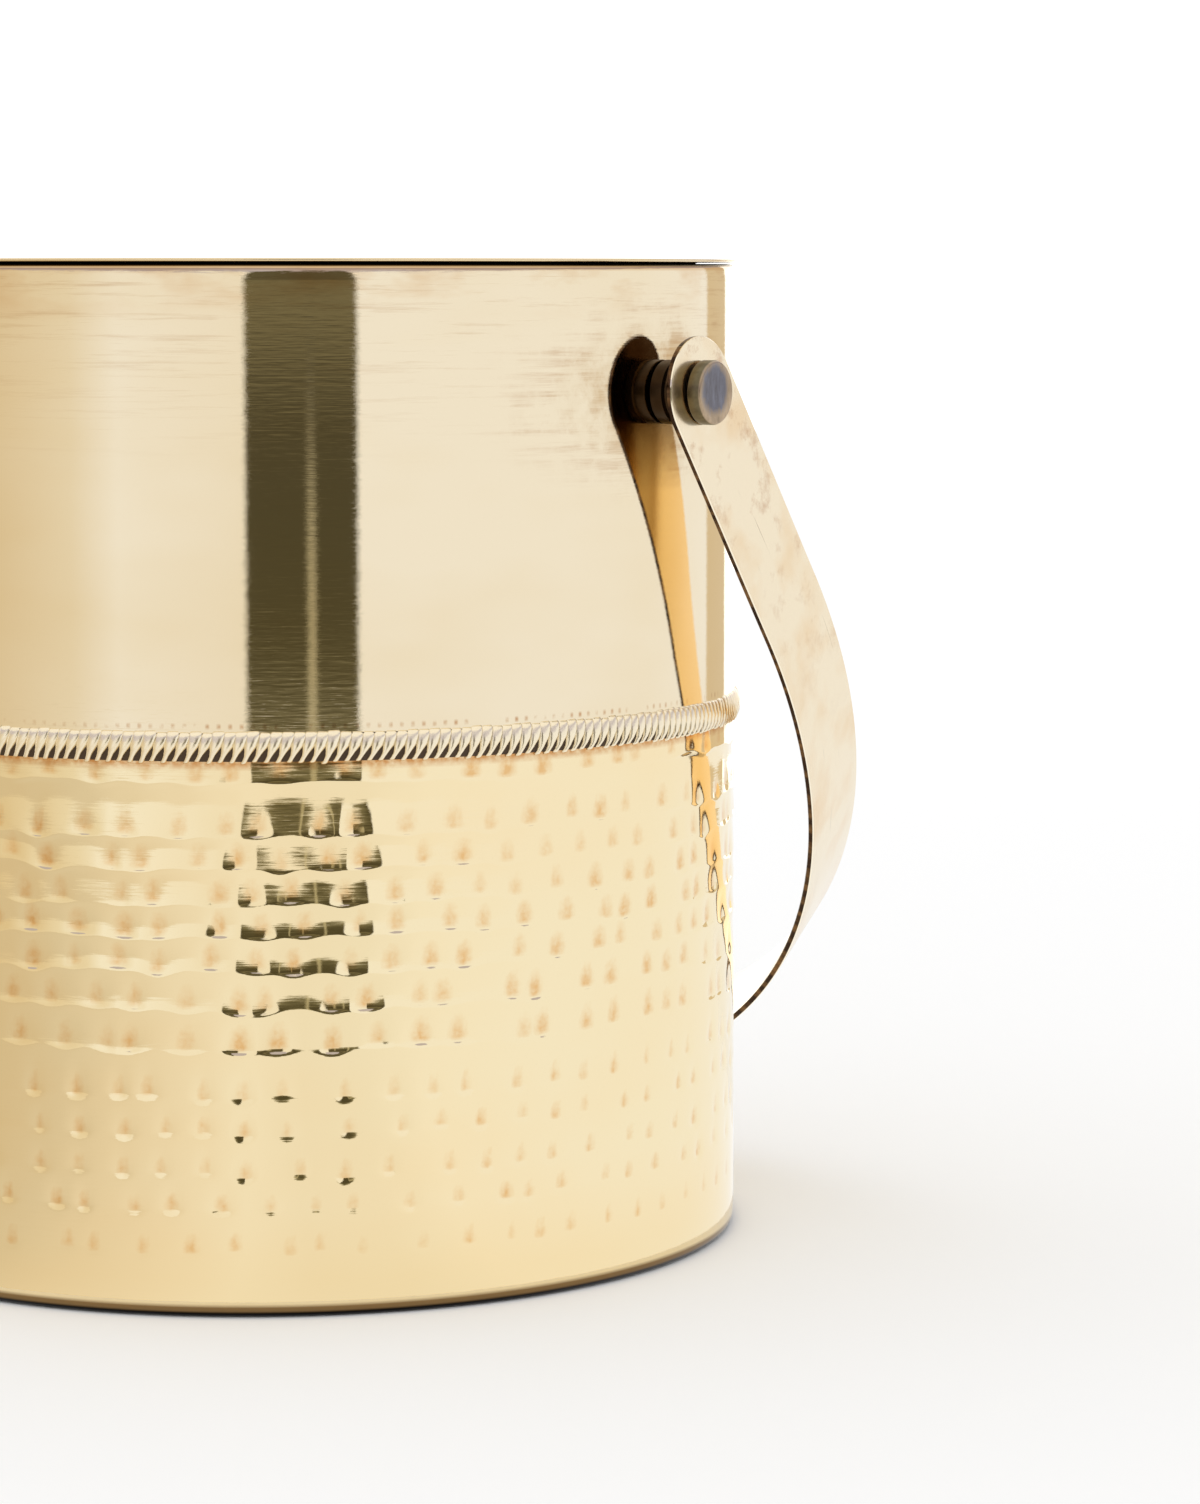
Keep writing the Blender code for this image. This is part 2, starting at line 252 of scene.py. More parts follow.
key_data = bpy.data.lights.new("overhead", "AREA")
key_data.shape = "DISK"
key_data.size = 1.0
key_data.energy = 0.5
key = in_scene("overhead", key_data)
key.location = (-0.9, -0.2, 1.2)
key.rotation_euler = (-key.location).to_track_quat("-Z", "Y").to_euler()
key.visible_glossy = False


# ---- The outer shell, upper part ----
# Drawn brass sheet, spun and brushed round its axis, so fine lines run round it; turned in at
# the top under the liner's lip.  The sheet carries on under the rope band as the hammered part.
def show(name, mesh, material, body="bucket", sharp_deg=35):
    """Make a finished mesh a visible piece with its material and body."""
    mesh.materials.clear()
    mesh.materials.append(material)
    mesh.shade_smooth()
    mesh.set_sharp_from_angle(angle=math.radians(sharp_deg))
    thing = in_scene(name, mesh)
    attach(thing, body)
    return thing


def corner(centre_r, centre_z, radius, start_deg, end_deg, steps=6):
    """Points of a rounded corner in a turned outline, as (radius, height)."""
    angles = np.radians(np.linspace(start_deg, end_deg, steps + 1))
    return [(centre_r + radius * math.cos(a), centre_z + radius * math.sin(a)) for a in angles]


def turned(name, outline, segments):
    """A mesh of revolution about Z. The outline runs anticlockwise in (radius, height); it is
    closed to a ring, unless both its ends lie on the axis."""
    corners, rings, faces = [], [], []
    for radius, height in outline:
        if radius < 1e-7:
            rings.append([len(corners)] * segments)
            corners.append((0.0, 0.0, height))
            continue
        rings.append(list(range(len(corners), len(corners) + segments)))
        for i in range(segments):
            angle = 2 * math.pi * i / segments
            corners.append((radius * math.cos(angle), radius * math.sin(angle), height))
    pairs = list(zip(rings, rings[1:]))
    if outline[0][0] > 1e-7:
        pairs.append((rings[-1], rings[0]))
    for below, above in pairs:
        for i in range(segments):
            j = (i + 1) % segments
            face = [below[i], below[j], above[j], above[i]]
            face = list(dict.fromkeys(face))              # no corner twice at a pole
            if len(face) > 2:
                faces.append(face)
    mesh = bpy.data.meshes.new(name)
    mesh.from_pydata(corners, [], faces)
    return mesh


sheet = 0.8 * MM
foot_corner = 1.8 * MM
top_corner = 0.85 * MM
roll_radius = 16.0 * MM           # the wall draws in a little before its top bend
roll_deg = 8.0
foot_ring_width = 8.0 * MM
top_ledge_width = 3.0 * MM
shell_top = shell_high.z
band_low, band_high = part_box("rope_band")
seam_height = (band_low.z + band_high.z) / 2      # hidden by the rope band
turns_of_wire = 277                               # in the rope band
pivot_height = frame["joints"][0]["pos_m"][2]


def stain(tree, colour, stain_colour, value, low, high, most=1.0, within=None):
    """Lay a stain over a colour: none where the value is at low, the most where it is at high,
    and only as far as the share `within` lets it."""
    amount = add(tree, "ShaderNodeMapRange", {"Value": value, "From Min": low, "From Max": high,
                                              "To Min": 0.0, "To Max": most})
    if within is not None:
        amount = add(tree, "ShaderNodeMath", {0: amount, 1: within}, operation="MULTIPLY")
    over = linear(stain_colour) if isinstance(stain_colour, str) else stain_colour
    return add(tree, "ShaderNodeMix", {0: amount, 6: colour, 7: over}, data_type="RGBA").outputs[2]


def start_metal(name):
    """A new material, its node tree, and the place on the piece."""
    material = bpy.data.materials.new(name)
    material.use_nodes = True
    tree = material.node_tree
    return material, tree, add(tree, "ShaderNodeTexCoord").outputs["Object"]


def finish_metal(tree, colour, roughness, pattern, depth):
    """Join up a metal: its colour, its roughness, and a fine relief that follows a pattern."""
    bump = add(tree, "ShaderNodeBump", {"Height": pattern, "Strength": 1.0, "Distance": depth})
    feed(tree, tree.nodes["Principled BSDF"],
         {"Base Color": colour, "Metallic": 1.0, "Roughness": roughness, "Normal": bump})


def mottling(tree, place, sizes, detail, roughness=0.5):
    """A random pattern from 0 to 1, whose patches have these sizes, in mm, along each axis."""
    drawn = add(tree, "ShaderNodeMapping", {"Vector": place,
                                            "Scale": [1 / (size * MM) for size in sizes]})
    return add(tree, "ShaderNodeTexNoise", {"Vector": drawn, "Scale": 1.0, "Detail": detail,
                                            "Roughness": roughness})


def brushed_brass(name, hex_colour, roughness, line_mm, line_depth, patch_hex, stains_and_shade=None):
    """Pale lacquered brass, brushed round Z: the fine lines catch the light up and down, their
    chatter jags the edges of what it reflects, and the lacquer leaves soft warmer patches. Real
    lines are about 0.1 mm apart; these are drawn several times as coarse, so that they show."""
    material, tree, place = start_metal(name)
    patches = mottling(tree, place, (71.43, 71.43, 33.33), 3.0, 0.6)
    lines = mottling(tree, place, (16.67, 16.67, line_mm), 4.0, 0.65)
    chatter = mottling(tree, place, (3.846, 3.846, 1.6 * line_mm), 1.0)
    colour = stain(tree, linear(hex_colour), patch_hex, patches, 0.45, 0.75, 0.7)
    # The stains here are partly real and partly painted shade.
    if stains_and_shade is not None:
        colour = stains_and_shade(tree, colour, place)
    rough = add(tree, "ShaderNodeMapRange", {"Value": lines, "From Min": 0.3, "From Max": 0.7,
                                             "To Min": roughness * 0.8, "To Max": roughness * 1.3})
    relief = add(tree, "ShaderNodeMath", {0: chatter, 1: 0.9, 2: lines}, operation="MULTIPLY_ADD")
    finish_metal(tree, colour, rough, relief, line_depth * MM)
    return material


def wall_stains_and_seam_shade(tree, colour, place):
    """Old lacquer pulled round the wall in brown smears near the rim and the pins, a brown dot
    of solder above each turn of the rope band, and painted shade: black in the seam under the lip."""
    axes = add(tree, "ShaderNodeSeparateXYZ", {0: place})
    height = axes.outputs["Z"]
    smears = mottling(tree, place, (22.22, 22.22, 0.9091), 5.0, 0.7)
    clouds = mottling(tree, place, (25, 25, 9.091), 4.0, 0.6)
    blot = mottling(tree, place, [7.692] * 3, 5.0, 0.65)
    near_rim = add(tree, "ShaderNodeMapRange", {"Value": height, "From Min": shell_top - 32 * MM,
                                                "From Max": shell_top})
    under_lip = add(tree, "ShaderNodeMapRange", {"Value": height, "From Min": shell_top - 9 * MM,
                                                 "From Max": shell_top - 2 * MM})
    colour = stain(tree, colour, "B98F62", smears, 0.54, 0.74, 0.5, near_rim)
    colour = stain(tree, colour, "D9B486", clouds, 0.46, 0.66, 0.75, under_lip)

    from_pivot = add(tree, "ShaderNodeVectorMath", {0: place, 1: (0, 0, pivot_height)},
                     operation="SUBTRACT")
    flattened = add(tree, "ShaderNodeVectorMath", {0: from_pivot, 1: (0, 1.0, 2.2)},
                    operation="MULTIPLY")
    from_pin = add(tree, "ShaderNodeVectorMath", {0: flattened},
                   operation="LENGTH").outputs["Value"]
    near_pin = add(tree, "ShaderNodeMapRange", {"Value": from_pin, "From Min": 42 * MM,
                                                "From Max": 12 * MM})
    mottled = add(tree, "ShaderNodeMapRange", {"Value": blot, "From Min": 0.45, "From Max": 0.62})
    scorched = add(tree, "ShaderNodeMath", {0: near_pin, 1: mottled}, operation="MULTIPLY")
    colour = stain(tree, colour, "B07C4A", smears, 0.42, 0.70, 0.85, scorched)
    haze = add(tree, "ShaderNodeMapRange", {"Value": from_pin, "From Min": 27 * MM,
                                            "From Max": 15 * MM})
    colour = stain(tree, colour, "C8A878", blot, 0.35, 0.65, 0.7, haze)

    angle = add(tree, "ShaderNodeMath", {0: axes.outputs["Y"], 1: axes.outputs["X"]},
                operation="ARCTAN2")
    turn = add(tree, "ShaderNodeMath", {0: angle, 1: turns_of_wire}, operation="MULTIPLY")
    wave = add(tree, "ShaderNodeMath", {0: turn}, operation="SINE")
    from_dots = add(tree, "ShaderNodeMath", {0: height, 1: band_high.z + 0.75 * MM},
                    operation="SUBTRACT")
    off_line = add(tree, "ShaderNodeMath", {0: from_dots}, operation="ABSOLUTE")
    on_line = add(tree, "ShaderNodeMapRange", {"Value": off_line, "From Min": 0.55 * MM,
                                               "From Max": 0.15 * MM})
    patchy = add(tree, "ShaderNodeMath", {0: on_line, 1: mottled}, operation="MULTIPLY")
    colour = stain(tree, colour, "B98450", wave, 0.1, 0.95, 0.75, patchy)
    colour = stain(tree, colour, "D8B484", height, shell_top - 1.2 * MM,
                   shell_top - 0.8 * MM, 0.8)
    # Painted shade: the seam under the liner's lip is made black, where the gap lies in shadow.
    return stain(tree, colour, "140E0A", height, shell_top - 0.60 * MM, shell_top - 0.28 * MM)


wall_brass = brushed_brass("brushed brass wall", "F0E2C6", 0.035, 0.45, 0.009, "EAD7B2",
                           wall_stains_and_seam_shade)
roll_r = wall_radius - roll_radius
roll_z = shell_top - top_corner - (roll_radius - top_corner) * math.sin(math.radians(roll_deg))
bend_r = roll_r + (roll_radius - top_corner) * math.cos(math.radians(roll_deg))
bend_z = shell_top - top_corner
outline = [(wall_radius, z) for z in np.linspace(seam_height, roll_z, 12)[:-1]]
outline += corner(roll_r, roll_z, roll_radius, 0, roll_deg, 8)
outline += corner(bend_r, bend_z, top_corner, roll_deg, 90)[1:]
outline += [(wall_radius - top_ledge_width, shell_top),
            (wall_radius - top_ledge_width, shell_top - sheet)]
outline += corner(bend_r, bend_z, top_corner - sheet, 90, roll_deg, 3)
outline += corner(roll_r, roll_z, roll_radius - sheet, roll_deg, 0, 8)[1:]
outline += [(wall_radius - sheet, seam_height)]
shell_upper = show("shell_upper", turned("shell_upper", outline, 480), wall_brass)
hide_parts("outer_shell")


# ---- The outer shell, hammered part ----
# The same sheet below the band, struck by hand in rows, lightly near the foot.  A dent falls
# away slowly from above and ends in a sharp lower lip; a faint groove joins a row's dents.
lip_heights = [h * MM for h in (10.3, 17.2, 22.7, 29.1, 34.8, 42.6, 49.1, 55.0, 60.6, 65.6,
                                71.2, 76.3, 84.7)]
dent_spacing = 7.4 * MM
dent_half_width = 1.35 * MM
dent_depth = 0.26 * MM
groove_depth = 0.16 * MM
light_rows = 5                    # so many rows from the foot up are struck lightly
light_width = 0.68                # and their dents are narrower by this share
light_film = 0.8                  # and hold less film
film_share = 0.6                  # width of the film, as a share of the dent's
sag_share = 1.7                   # width over which a dent draws its lip down
lip_sag = 0.38 * MM
upper_rows = 9                    # from here up the sheet lies back further above each lip
blows = [0.25, 0.90, 0.92, 0.95, 1.05] + [1.0] * 7 + [0.6]      # how hard each row is struck
hollows = [0.0, 0.04, 0.08, 0.15, 0.3, 0.7] + [1.0] * 5 + [1.5, 0.3]   # grooves above the rows
hammer_columns = 600
above_a_lip = [h * MM for h in (0.0, 0.2, 0.38, 0.6, 1.1, 2.0)]
below_a_lip = [h * MM for h in (0.9, 0.55, 0.3, 0.15)]


def dent_rise(above, light):
    """Depth of a dent at a height above its lip, as a share of the deepest: a rounded lower
    edge, steepest at the lip, a slack floor, and a slow way back out above. A light blow
    leaves an even lower slope."""
    points = (-0.9, -0.55, -0.3, -0.15, 0.0, 0.2, 0.38, 0.6, 1.1, 2.0, 3.5, 5.0, 6.0)
    shares = (0.0, 0.03, 0.10, 0.22, 0.40, 0.73, 0.91, 1.0, 1.0, 0.88, 0.52, 0.16, 0.0)
    if light:
        points = (-0.9, -0.55, 0.38, 0.6, 1.1, 2.0, 3.2, 4.5)
        shares = (0.0, 0.14, 0.92, 1.0, 1.0, 0.75, 0.25, 0.0)
    return np.interp(above / MM, points, shares)


def dent_film(above, light):
    """How much brown film lies at a height above the lip."""
    points = (0.1, 0.5, 1.2, 2.2, 3.6) if light else (0.4, 0.8, 1.5, 3.0, 5.0)
    return np.interp(above / MM, points, (0.0, 0.85, 1.0, 0.55, 0.0))


def groove_rise(u, crest, shares):
    """Depth of the groove at the share u of the way up to the next row: falling away from the
    lip to its deepest at the crest, then coming back out."""
    climb = np.interp(u / crest, (0, 0.24, 0.56, 0.86, 1), shares)
    return np.where(u < crest, climb, np.interp((1 - u) / (1 - crest), (0, 0.56, 1), (0, 0.72, 1)))


def strike_rows(seed):
    """Angle, lift, width and depth of each dent, row by row from the bottom. Each row starts
    from the one below it, so the dents stand in loose columns."""
    rng = random.Random(seed)
    count = round(2 * math.pi * wall_radius / dent_spacing)
    pitch = 2 * math.pi / count
    shifts = [rng.gauss(0, 0.18) for _ in range(count)]
    lead = 0.0
    rows = []
    for level in range(len(lip_heights)):
        lead += rng.gauss(0.0, 0.25)
        shifts = [0.6 * s + rng.gauss(0, 0.13) for s in shifts]
        rows.append([((i + lead + shifts[i]) * pitch, rng.gauss(0, 0.28) * MM,
                      rng.uniform(0.85, 1.2), rng.uniform(0.55, 1.15))
                     for i in range(count)])
    return rows


def hammered_sheet():
    """The sheet from the foot ring to the seam: rings of points that follow the wandering lips
    of the rows, each pushed in by the dents and the grooves."""
    columns = np.arange(hammer_columns) * 2 * math.pi / hammer_columns
    rng = random.Random(7)
    lips, strengths, films, grooves = [], [], [], []
    for level, dents in enumerate(strike_rows(11)):
        strength, film, lift = np.zeros((3, hammer_columns))
        for angle, up, width, depth in dents:
            away = (columns - angle + math.pi) % (2 * math.pi) - math.pi
            spread = away * wall_radius / (dent_half_width * width)
            if level < light_rows:
                spread = spread / light_width
            strength = np.maximum(strength, depth * blows[level] * np.exp(-0.5 * spread ** 2))
            film = np.maximum(film, depth * (light_film if level < light_rows else 1.0)
                              * np.exp(-0.5 * (spread / film_share) ** 2))
            lift += (up - lip_sag * depth) * np.exp(-0.5 * (spread / sag_share) ** 2)
        wander = sum(0.12 * MM * math.cos(rng.uniform(0, 6.3)) * np.sin(k * columns + k)
                     for k in (3, 5, 8))
        lips.append(lip_heights[level] + lift + wander)
        strengths.append(strength)
        films.append(film)
        swell = sum(rng.uniform(-0.35, 0.35) * np.sin(k * columns + rng.uniform(0, 6.3))
                    for k in (4, 9, 15))
        grooves.append(hollows[level] * np.clip(1 + swell, 0.2, 1.8))
    top = np.full(hammer_columns, seam_height)

    rings = []
    for radius, height in corner(0.0, foot_corner, foot_corner, -90, 0):
        rings.append((np.full(hammer_columns, height), foot_corner - radius))
    first = lips[0] - below_a_lip[0]
    rings += [(foot_corner + (first - foot_corner) * share, None) for share in (0.3, 0.65)]
    rings += [(lips[0] - below, None) for below in below_a_lip]
    for level, lip in enumerate(lips):
        rings += [(lip + above, None) for above in above_a_lip]
        if level + 1 < len(lips):
            start, end = lip + above_a_lip[-1], lips[level + 1] - below_a_lip[0]
            rings.append(((start + end) / 2, None))
            rings += [(lips[level + 1] - below, None) for below in below_a_lip]
    rings.append((top, None))
    inside = [(wall_radius - sheet, seam_height), (wall_radius - sheet, foot_corner + sheet),
              (wall_radius - foot_corner, sheet), (wall_radius - foot_ring_width, sheet),
              (wall_radius - foot_ring_width, 0.0)]
    for radius, height in inside:
        rings.append((np.full(hammer_columns, height), wall_radius - radius))

    heights = np.array([height for height, _ in rings])
    depths, films_here = np.zeros((2, len(rings), hammer_columns))
    for level, lip in enumerate(lips):
        following = lips[level + 1] if level + 1 < len(lips) else top + 2 * MM
        share = np.clip((heights - lip) / (following - lip), 0, 1)
        crest, shares = 0.55, (0, 0.30, 0.66, 0.95, 1)
        if level >= upper_rows:
            crest, shares = 1 - below_a_lip[0] / (following - lip), (0, 0.24, 0.56, 0.86, 1)
        depths += groove_depth * grooves[level] * groove_rise(share, crest, shares) * (share < 1)
        light = level < light_rows
        depths += dent_depth * strengths[level] * dent_rise(heights - lip, light)
        films_here = np.maximum(films_here, films[level] * dent_film(heights - lip, light))
    for n, (_, fixed) in enumerate(rings):
        if fixed is not None:
            depths[n], films_here[n] = fixed, 0.0
    radii = wall_radius - depths
    points = np.stack([radii * np.cos(columns), radii * np.sin(columns), heights], axis=-1)
    index = np.arange(points.shape[0] * hammer_columns).reshape(-1, hammer_columns)
    above = np.roll(index, -1, axis=0)
    faces = np.stack([index, np.roll(index, -1, axis=1), np.roll(above, -1, axis=1), above],
                     axis=-1).reshape(-1, 4)
    mesh = bpy.data.meshes.new("shell_hammered")
    mesh.from_pydata(points.reshape(-1, 3), [], faces.tolist())
    film = mesh.attributes.new("film", "FLOAT", "POINT")
    film.data.foreach_set("value", films_here.reshape(-1).astype(np.float32))
    return mesh


def dent_film_and_foot_shade(tree, colour, place):
    """The dents keep a brown film that polishing didn't reach, a line of solder stain runs
    under the band, and the foot is painted with shade: yellower from 18 mm down, then brown to
    black where it meets the table, for the dim floor and contact shadow it mirrors there."""
    film = add(tree, "ShaderNodeAttribute", attribute_name="film")
    grain = mottling(tree, place, [1.111] * 3, 3.0)
    speckled = add(tree, "ShaderNodeMath", {0: film.outputs["Fac"], 1: grain},
                   operation="MULTIPLY")
    colour = stain(tree, colour, "E2B06E", speckled, 0.04, 0.50, 0.78)
    height = add(tree, "ShaderNodeSeparateXYZ", {0: place}).outputs["Z"]
    near_band = add(tree, "ShaderNodeMapRange", {"Value": height, "To Max": 0.9,
                                                 "From Min": band_low.z - 1.2 * MM,
                                                 "From Max": band_low.z})
    colour = stain(tree, colour, "C88A4A", grain, 0.1, 0.6, 1.0, near_band)
    # Painted reflection: yellower and a little darker towards the foot, for the dim warm floor it
    # mirrors.
    colour = stain(tree, colour, "F2D69E", height, 18 * MM, 6 * MM, 0.3)
    # Painted shade: brown, then black at the bottom edge, for the contact shadow the foot mirrors.
    colour = stain(tree, colour, "7A5A30", height, 2.3 * MM, 1.7 * MM, 0.9)
    return stain(tree, colour, "120B08", height, 1.15 * MM, 0.75 * MM)


hammered_brass = brushed_brass("hammered brass wall", "F5E5BE", 0.035, 0.45, 0.008, "F6E0B4",
                               dent_film_and_foot_shade)
shell_hammered = show("shell_hammered", hammered_sheet(), hammered_brass)
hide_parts("outer_shell")


# ---- The rope band ----
# A ring of round brass wire wound in a close, slightly slanted coil and soldered to the wall.
# Each turn shows as a rib, full at the top and pinched at the bottom, with dark solder between,
# which also stands in as painted shade in the gaps.
rib_pitch = 2 * math.pi * wall_radius / turns_of_wire
rib_rise = band_high.x - wall_radius
rib_half_height = (band_high.z - band_low.z) / 2


def rib_mesh():
    """One turn of wire, facing +X: broad and upright at the top, where it touches its
    neighbours, then leaning over to a narrow curled foot."""
    around = 7
    stations = (0.0, 0.06, 0.16, 0.30, 0.45, 0.60, 0.75, 0.88, 0.96, 1.0)     # top to foot
    corners, faces = [], []
    for down in stations:
        centre = rib_pitch * (0.28 - 1.0 * down ** 1.7)
        half = rib_pitch * np.interp(down, (0, 0.1, 0.42, 0.72, 0.84, 0.94, 1),
                                     (0.45, 0.66, 0.62, 0.32, 0.22, 0.34, 0.16))
        out = rib_rise * np.interp(down, (0, 0.06, 0.16, 0.45, 0.75, 0.88, 0.96, 1),
                                   (0.16, 0.42, 0.66, 1.0, 0.90, 0.64, 0.5, 0.12))
        for k in range(around):
            angle = math.pi * k / (around - 1)
            corners.append((out * math.sin(angle) ** 0.8 - 0.05 * MM,
                            centre - half * math.cos(angle), rib_half_height * (1 - 2 * down)))
    along = len(stations)
    for i in range(along - 1):
        for k in range(around):
            a, b = i * around + k, i * around + (k + 1) % around
            faces.append((a, b, b + around, a + around))
    faces.append(tuple(range(around - 1, -1, -1)))
    faces.append(tuple(range((along - 1) * around, along * around)))
    mesh = bpy.data.meshes.new("rib")
    mesh.from_pydata(corners, [], faces)
    builder = bmesh.new()
    builder.from_mesh(mesh)
    bmesh.ops.recalc_face_normals(builder, faces=builder.faces)
    builder.to_mesh(mesh)
    builder.free()
    return mesh


def ring_of_ribs(rib, material):
    """Geometry Nodes: the rib, set round a circle with small differences in lean and size."""
    tree = bpy.data.node_groups.new("wound wire", "GeometryNodeTree")
    face = tree.interface
    face.new_socket("Geometry", in_out="INPUT", socket_type="NodeSocketGeometry")
    sizes = (("Rib", "NodeSocketObject", rib), ("Count", "NodeSocketInt", turns_of_wire),
             ("Radius", "NodeSocketFloat", wall_radius),
             ("Height", "NodeSocketFloat", seam_height),
             ("Lean", "NodeSocketFloat", math.radians(3.0)), ("Seed", "NodeSocketInt", 5))
    keys = {name: face.new_socket(name, in_out="INPUT", socket_type=kind).identifier
            for name, kind, _ in sizes}
    face.new_socket("Geometry", in_out="OUTPUT", socket_type="NodeSocketGeometry")
    given = add(tree, "NodeGroupInput").outputs
    circle = add(tree, "GeometryNodeMeshCircle", {"Vertices": given["Count"],
                                                  "Radius": given["Radius"]})
    number = add(tree, "GeometryNodeInputIndex")
    share = add(tree, "ShaderNodeMath", {0: number, 1: given["Count"]}, operation="DIVIDE")
    turn = add(tree, "ShaderNodeMath", {0: share, 1: 2 * math.pi}, operation="MULTIPLY")
    lean = add(tree, "FunctionNodeRandomValue", {2: -1.0, 3: 1.0, "Seed": given["Seed"]},
               data_type="FLOAT")
    leaning = add(tree, "ShaderNodeMath", {0: lean.outputs[1], 1: given["Lean"]},
                  operation="MULTIPLY")
    spin = add(tree, "ShaderNodeCombineXYZ", {"X": leaning, "Z": turn})
    size = add(tree, "FunctionNodeRandomValue", {2: 0.94, 3: 1.04, "Seed": given["Seed"]},
               data_type="FLOAT")
    rib_shape = add(tree, "GeometryNodeObjectInfo", {"Object": given["Rib"]})
    placed = add(tree, "GeometryNodeInstanceOnPoints",
                 {"Points": circle, "Instance": rib_shape.outputs["Geometry"],
                  "Rotation": spin, "Scale": size.outputs[1]})
    raise_by = add(tree, "ShaderNodeCombineXYZ", {"Z": given["Height"]})
    lifted = add(tree, "GeometryNodeTransform", {"Geometry": placed, "Translation": raise_by})
    real = add(tree, "GeometryNodeRealizeInstances", {0: lifted})
    painted = add(tree, "GeometryNodeSetMaterial", {0: real, "Material": material})
    add(tree, "NodeGroupOutput", {0: painted})
    return tree, {keys[name]: value for name, _, value in sizes}


def plain_mesh(thing):
    """The mesh that an object's modifiers make of it. The object is removed."""
    bpy.context.view_layer.update()
    ready = thing.evaluated_get(bpy.context.evaluated_depsgraph_get())
    mesh = bpy.data.meshes.new_from_object(ready)
    bpy.data.objects.remove(thing)
    return mesh


def grown_mesh(name, tree, values):
    """Run a node tree on an empty object and keep the plain mesh that it makes."""
    host = in_scene(name + "_host", bpy.data.meshes.new(name + "_host"))
    grower = host.modifiers.new(name, "NODES")
    grower.node_group = tree
    for key, value in values.items():
        grower[key] = value
    return plain_mesh(host)


def wire_brass():
    """Bright drawn wire, with painted shade: black-brown where the turns meet and hide one
    another.
    """
    material, tree, place = start_metal("twisted brass wire")
    open_sky = add(tree, "ShaderNodeAmbientOcclusion", {"Distance": 0.9 * MM}, samples=8)
    # Painted shade: black-brown wherever ambient occlusion finds the wire hemmed in by its
    # neighbours.
    colour = stain(tree, linear("F4E8CE"), "54444A", open_sky.outputs["AO"], 0.40, 0.10)
    finish_metal(tree, colour, 0.24, mottling(tree, place, [0.5556] * 3, 3.0), 0.02 * MM)
    return material


rib = in_scene("rib", rib_mesh())
wire = wire_brass()
tree, values = ring_of_ribs(rib, wire)
rope_ribs = show("rope_ribs", grown_mesh("rope_ribs", tree, values), wire, sharp_deg=60)
bpy.data.objects.remove(rib)
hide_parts("rope_band")

# Soft solder gone dull and brown, seen only between the ribs, and made dark as painted shade for
# the deep gaps there
solder = bpy.data.materials.new("dark solder as painted gap shade")
solder.use_nodes = True
feed(solder.node_tree, solder.node_tree.nodes["Principled BSDF"],
     {"Base Color": linear("4A3A2A"), "Metallic": 0.6, "Roughness": 0.5})
core_half = rib_half_height * 0.88
core_out = rib_rise * 0.30
outline = [(wall_radius - 0.3 * MM, seam_height - core_half),
           (wall_radius + core_out * 0.5, seam_height - core_half),
           (wall_radius + core_out, seam_height),
           (wall_radius + core_out * 0.5, seam_height + core_half),
           (wall_radius - 0.3 * MM, seam_height + core_half)]
rope_core = show("rope_core", turned("rope_core", outline, 360), solder)


# ---- The inner liner ----
# A deep drawn brass cup with its mouth rolled out over the shell; its thin lip is the light
# line at the rim.  The inside keeps the spinner's fine rings.
liner_low, liner_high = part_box("inner_liner")
liner_sheet = 0.5 * MM
mouth_corner = 1.6 * MM
floor_corner = 8.0 * MM
liner_outside = 71.67 * MM
liner_inside = liner_outside - liner_sheet
lip_radius = liner_high.x


def liner_outline():
    """The cup's section, up the outside, round the lip and down the inside."""
    outer_bend = floor_corner + liner_sheet
    bend_r = liner_outside - outer_bend
    bend_z = liner_low.z + outer_bend
    mouth_r = liner_inside + mouth_corner
    mouth_z = bucket_height - mouth_corner
    points = [(0.0, liner_low.z)]
    points += corner(bend_r, bend_z, outer_bend, -90, 0, 10)
    points += corner(mouth_r, mouth_z, mouth_corner - liner_sheet, 180, 90)
    points += corner(lip_radius - liner_sheet / 2, bucket_height - liner_sheet / 2,
                     liner_sheet / 2, -90, 90)
    points += corner(mouth_r, mouth_z, mouth_corner, 90, 180)
    points += [(liner_inside, z) for z in np.linspace(mouth_z, bend_z, 10)[1:-1]]
    points += corner(bend_r, bend_z, floor_corner, 0, -90, 10)
    points += [(r, liner_low.z + liner_sheet) for r in np.linspace(bend_r, 0.0, 8)[1:]]
    return points


liner_brass = brushed_brass("satin spun brass liner", "E6D3AE", 0.22, 0.6, 0.012, "DCC494")
liner = show("liner", turned("liner", liner_outline(), 360), liner_brass)
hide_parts("inner_liner")


# ---- The base plate ----
# A plain brass disc behind the foot ring, its middle pressed flush with the table.
base_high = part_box("base_plate")[1]
base_sheet = 1.0 * MM
seat_gap = 0.3 * MM
pressed_radius = wall_radius - foot_ring_width - seat_gap
plate_seat = base_high.z - base_sheet
outline = [(0.0, 0.0)]
outline += [(r, 0.0) for r in np.linspace(0, pressed_radius - 0.4 * MM, 6)[1:-1]]
outline += corner(pressed_radius - 0.4 * MM, 0.4 * MM, 0.4 * MM, -90, 0)
outline += [(pressed_radius, plate_seat), (base_high.x, plate_seat), (base_high.x, base_high.z),
            (pressed_radius - base_sheet, base_high.z), (pressed_radius - base_sheet, base_sheet),
            (0.0, base_sheet)]
base_brass = brushed_brass("spun brass base", "C9AC78", 0.3, 0.6, 0.01, "B89460")
base = show("base", turned("base", outline, 240), base_brass)
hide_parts("base_plate")


